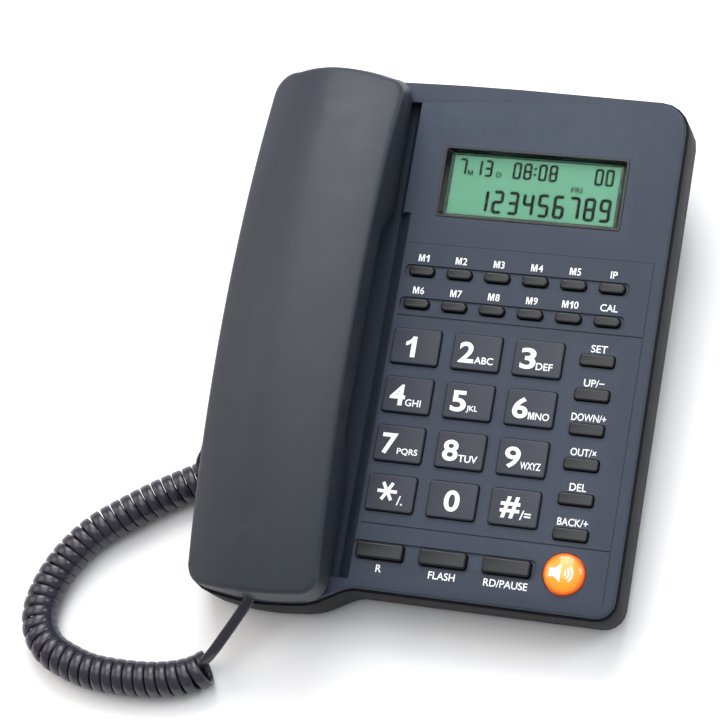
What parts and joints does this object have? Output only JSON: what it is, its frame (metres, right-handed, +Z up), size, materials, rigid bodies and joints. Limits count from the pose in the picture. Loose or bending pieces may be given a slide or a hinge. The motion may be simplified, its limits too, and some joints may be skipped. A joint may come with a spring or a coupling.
{
  "type": "corded landline phone",
  "caption": "Corded desk telephone: arched handset on a tilted base with a dial pad, green caller display, round speaker key and curled handset cord.",
  "frame": {"origin": "on the desk under the middle of the phone's own box, the handset cord left out", "axes": "+Z up, -Y towards the user, +X to the user's right; the face rises towards +Y"},
  "size_m": [0.232, 0.2459, 0.0761],
  "materials": {
    "lower_case_plastic": "fine satin grain",
    "face_plastic": "fine satin grain, blue-grey",
    "handset_plastic": "fine satin grain, blue-grey",
    "bezel_plastic": "polished dark frame",
    "window_clear": "clear acrylic",
    "lcd_glass": "green reflective display",
    "circuit_board": "green solder mask",
    "key_rubber": "grey silicone",
    "speaker_metal": "satin",
    "jack_plastic": "moulded black",
    "foot_rubber": "soft matt",
    "screw_steel": "zinc plated",
    "battery_jacket": "plain unprinted jacket",
    "plunger_plastic": "moulded off-white",
    "dial_key_plastic": "satin, white numerals",
    "small_key_plastic": "semi-gloss",
    "speaker_key_plastic": "translucent orange",
    "plug_clear": "clear polycarbonate",
    "cord_jacket": "soft satin jacket"
  },
  "bodies": {
    "base": {"lower_case": "lower_case_plastic", "upper_case": "face_plastic", "display_bezel": "bezel_plastic", "display_window": "window_clear", "lcd_panel": "lcd_glass", "main_board": "circuit_board", "key_mat": "key_rubber", "loudspeaker": "speaker_metal", "line_jack": "jack_plastic", "handset_jack": "jack_plastic", "rubber_feet": "foot_rubber", "case_screws": "screw_steel", "batteries": "battery_jacket", "hook_switch": "jack_plastic", "cord_lead": "cord_jacket", "cord_coil": "cord_jacket", "cord_tail": "cord_jacket", "base_plug": "plug_clear"},
    "handset": {"handset_outer_shell": "handset_plastic", "handset_inner_shell": "handset_plastic", "handset_microphone": "speaker_metal", "handset_screws": "screw_steel", "handset_plug": "plug_clear", "receiver_capsule": "speaker_metal"},
    "hook_plunger": {"hook_plunger": "plunger_plastic"},
    "battery_door": {"battery_door": "lower_case_plastic"},
    "dial_key_1": {"dial_key_1": "dial_key_plastic"},
    "dial_key_2": {"dial_key_2": "dial_key_plastic"},
    "dial_key_3": {"dial_key_3": "dial_key_plastic"},
    "dial_key_4": {"dial_key_4": "dial_key_plastic"},
    "dial_key_5": {"dial_key_5": "dial_key_plastic"},
    "dial_key_6": {"dial_key_6": "dial_key_plastic"},
    "dial_key_7": {"dial_key_7": "dial_key_plastic"},
    "dial_key_8": {"dial_key_8": "dial_key_plastic"},
    "dial_key_9": {"dial_key_9": "dial_key_plastic"},
    "dial_key_star": {"dial_key_star": "dial_key_plastic"},
    "dial_key_0": {"dial_key_0": "dial_key_plastic"},
    "dial_key_hash": {"dial_key_hash": "dial_key_plastic"},
    "memory_key_m1": {"memory_key_m1": "small_key_plastic"},
    "memory_key_m2": {"memory_key_m2": "small_key_plastic"},
    "memory_key_m3": {"memory_key_m3": "small_key_plastic"},
    "memory_key_m4": {"memory_key_m4": "small_key_plastic"},
    "memory_key_m5": {"memory_key_m5": "small_key_plastic"},
    "memory_key_ip": {"memory_key_ip": "small_key_plastic"},
    "memory_key_m6": {"memory_key_m6": "small_key_plastic"},
    "memory_key_m7": {"memory_key_m7": "small_key_plastic"},
    "memory_key_m8": {"memory_key_m8": "small_key_plastic"},
    "memory_key_m9": {"memory_key_m9": "small_key_plastic"},
    "memory_key_m10": {"memory_key_m10": "small_key_plastic"},
    "memory_key_call": {"memory_key_call": "small_key_plastic"},
    "side_key_set": {"side_key_set": "small_key_plastic"},
    "side_key_up": {"side_key_up": "small_key_plastic"},
    "side_key_down": {"side_key_down": "small_key_plastic"},
    "side_key_out": {"side_key_out": "small_key_plastic"},
    "side_key_delete": {"side_key_delete": "small_key_plastic"},
    "side_key_back": {"side_key_back": "small_key_plastic"},
    "front_key_recall": {"front_key_recall": "small_key_plastic"},
    "front_key_flash": {"front_key_flash": "small_key_plastic"},
    "front_key_redial": {"front_key_redial": "small_key_plastic"},
    "speaker_key": {"speaker_key": "speaker_key_plastic"}
  },
  "joints": [
    {"name": "handset_lift", "type": "slide", "parent": "base", "child": "handset", "axis": [0, -0.1392, 0.9903], "range_m": [0, 0.07]},
    {"name": "hook_plunger_rise", "type": "slide", "parent": "base", "child": "hook_plunger", "axis": [0, -0.1392, 0.9903], "range_m": [0, 0.0035]},
    {"name": "battery_door_slide", "type": "slide", "parent": "base", "child": "battery_door", "axis": [0, 1, 0], "range_m": [0, 0.03]},
    {"name": "dial_key_1_press", "type": "slide", "parent": "base", "child": "dial_key_1", "axis": [0, 0.1392, -0.9903], "range_m": [0, 0.0015], "stiffness_N_per_m": 400, "springref_m": -0.0006},
    {"name": "dial_key_2_press", "type": "slide", "parent": "base", "child": "dial_key_2", "axis": [0, 0.1392, -0.9903], "range_m": [0, 0.0015], "stiffness_N_per_m": 400, "springref_m": -0.0006},
    {"name": "dial_key_3_press", "type": "slide", "parent": "base", "child": "dial_key_3", "axis": [0, 0.1392, -0.9903], "range_m": [0, 0.0015], "stiffness_N_per_m": 400, "springref_m": -0.0006},
    {"name": "dial_key_4_press", "type": "slide", "parent": "base", "child": "dial_key_4", "axis": [0, 0.1392, -0.9903], "range_m": [0, 0.0015], "stiffness_N_per_m": 400, "springref_m": -0.0006},
    {"name": "dial_key_5_press", "type": "slide", "parent": "base", "child": "dial_key_5", "axis": [0, 0.1392, -0.9903], "range_m": [0, 0.0015], "stiffness_N_per_m": 400, "springref_m": -0.0006},
    {"name": "dial_key_6_press", "type": "slide", "parent": "base", "child": "dial_key_6", "axis": [0, 0.1392, -0.9903], "range_m": [0, 0.0015], "stiffness_N_per_m": 400, "springref_m": -0.0006},
    {"name": "dial_key_7_press", "type": "slide", "parent": "base", "child": "dial_key_7", "axis": [0, 0.1392, -0.9903], "range_m": [0, 0.0015], "stiffness_N_per_m": 400, "springref_m": -0.0006},
    {"name": "dial_key_8_press", "type": "slide", "parent": "base", "child": "dial_key_8", "axis": [0, 0.1392, -0.9903], "range_m": [0, 0.0015], "stiffness_N_per_m": 400, "springref_m": -0.0006},
    {"name": "dial_key_9_press", "type": "slide", "parent": "base", "child": "dial_key_9", "axis": [0, 0.1392, -0.9903], "range_m": [0, 0.0015], "stiffness_N_per_m": 400, "springref_m": -0.0006},
    {"name": "dial_key_star_press", "type": "slide", "parent": "base", "child": "dial_key_star", "axis": [0, 0.1392, -0.9903], "range_m": [0, 0.0015], "stiffness_N_per_m": 400, "springref_m": -0.0006},
    {"name": "dial_key_0_press", "type": "slide", "parent": "base", "child": "dial_key_0", "axis": [0, 0.1392, -0.9903], "range_m": [0, 0.0015], "stiffness_N_per_m": 400, "springref_m": -0.0006},
    {"name": "dial_key_hash_press", "type": "slide", "parent": "base", "child": "dial_key_hash", "axis": [0, 0.1392, -0.9903], "range_m": [0, 0.0015], "stiffness_N_per_m": 400, "springref_m": -0.0006},
    {"name": "memory_key_m1_press", "type": "slide", "parent": "base", "child": "memory_key_m1", "axis": [0, 0.1392, -0.9903], "range_m": [0, 0.0015], "stiffness_N_per_m": 400, "springref_m": -0.0006},
    {"name": "memory_key_m2_press", "type": "slide", "parent": "base", "child": "memory_key_m2", "axis": [0, 0.1392, -0.9903], "range_m": [0, 0.0015], "stiffness_N_per_m": 400, "springref_m": -0.0006},
    {"name": "memory_key_m3_press", "type": "slide", "parent": "base", "child": "memory_key_m3", "axis": [0, 0.1392, -0.9903], "range_m": [0, 0.0015], "stiffness_N_per_m": 400, "springref_m": -0.0006},
    {"name": "memory_key_m4_press", "type": "slide", "parent": "base", "child": "memory_key_m4", "axis": [0, 0.1392, -0.9903], "range_m": [0, 0.0015], "stiffness_N_per_m": 400, "springref_m": -0.0006},
    {"name": "memory_key_m5_press", "type": "slide", "parent": "base", "child": "memory_key_m5", "axis": [0, 0.1392, -0.9903], "range_m": [0, 0.0015], "stiffness_N_per_m": 400, "springref_m": -0.0006},
    {"name": "memory_key_ip_press", "type": "slide", "parent": "base", "child": "memory_key_ip", "axis": [0, 0.1392, -0.9903], "range_m": [0, 0.0015], "stiffness_N_per_m": 400, "springref_m": -0.0006},
    {"name": "memory_key_m6_press", "type": "slide", "parent": "base", "child": "memory_key_m6", "axis": [0, 0.1392, -0.9903], "range_m": [0, 0.0015], "stiffness_N_per_m": 400, "springref_m": -0.0006},
    {"name": "memory_key_m7_press", "type": "slide", "parent": "base", "child": "memory_key_m7", "axis": [0, 0.1392, -0.9903], "range_m": [0, 0.0015], "stiffness_N_per_m": 400, "springref_m": -0.0006},
    {"name": "memory_key_m8_press", "type": "slide", "parent": "base", "child": "memory_key_m8", "axis": [0, 0.1392, -0.9903], "range_m": [0, 0.0015], "stiffness_N_per_m": 400, "springref_m": -0.0006},
    {"name": "memory_key_m9_press", "type": "slide", "parent": "base", "child": "memory_key_m9", "axis": [0, 0.1392, -0.9903], "range_m": [0, 0.0015], "stiffness_N_per_m": 400, "springref_m": -0.0006},
    {"name": "memory_key_m10_press", "type": "slide", "parent": "base", "child": "memory_key_m10", "axis": [0, 0.1392, -0.9903], "range_m": [0, 0.0015], "stiffness_N_per_m": 400, "springref_m": -0.0006},
    {"name": "memory_key_call_press", "type": "slide", "parent": "base", "child": "memory_key_call", "axis": [0, 0.1392, -0.9903], "range_m": [0, 0.0015], "stiffness_N_per_m": 400, "springref_m": -0.0006},
    {"name": "side_key_set_press", "type": "slide", "parent": "base", "child": "side_key_set", "axis": [0, 0.1392, -0.9903], "range_m": [0, 0.0015], "stiffness_N_per_m": 400, "springref_m": -0.0006},
    {"name": "side_key_up_press", "type": "slide", "parent": "base", "child": "side_key_up", "axis": [0, 0.1392, -0.9903], "range_m": [0, 0.0015], "stiffness_N_per_m": 400, "springref_m": -0.0006},
    {"name": "side_key_down_press", "type": "slide", "parent": "base", "child": "side_key_down", "axis": [0, 0.1392, -0.9903], "range_m": [0, 0.0015], "stiffness_N_per_m": 400, "springref_m": -0.0006},
    {"name": "side_key_out_press", "type": "slide", "parent": "base", "child": "side_key_out", "axis": [0, 0.1392, -0.9903], "range_m": [0, 0.0015], "stiffness_N_per_m": 400, "springref_m": -0.0006},
    {"name": "side_key_delete_press", "type": "slide", "parent": "base", "child": "side_key_delete", "axis": [0, 0.1392, -0.9903], "range_m": [0, 0.0015], "stiffness_N_per_m": 400, "springref_m": -0.0006},
    {"name": "side_key_back_press", "type": "slide", "parent": "base", "child": "side_key_back", "axis": [0, 0.1392, -0.9903], "range_m": [0, 0.0015], "stiffness_N_per_m": 400, "springref_m": -0.0006},
    {"name": "front_key_recall_press", "type": "slide", "parent": "base", "child": "front_key_recall", "axis": [0, 0.1392, -0.9903], "range_m": [0, 0.0015], "stiffness_N_per_m": 400, "springref_m": -0.0006},
    {"name": "front_key_flash_press", "type": "slide", "parent": "base", "child": "front_key_flash", "axis": [0, 0.1392, -0.9903], "range_m": [0, 0.0015], "stiffness_N_per_m": 400, "springref_m": -0.0006},
    {"name": "front_key_redial_press", "type": "slide", "parent": "base", "child": "front_key_redial", "axis": [0, 0.1392, -0.9903], "range_m": [0, 0.0015], "stiffness_N_per_m": 400, "springref_m": -0.0006},
    {"name": "speaker_key_press", "type": "slide", "parent": "base", "child": "speaker_key", "axis": [0, 0.1392, -0.9903], "range_m": [0, 0.0015], "stiffness_N_per_m": 400, "springref_m": -0.0006}
  ],
  "couplings": [
    {"joint": "hook_plunger_rise", "follows": "handset_lift", "ratio": 0.05}
  ]
}
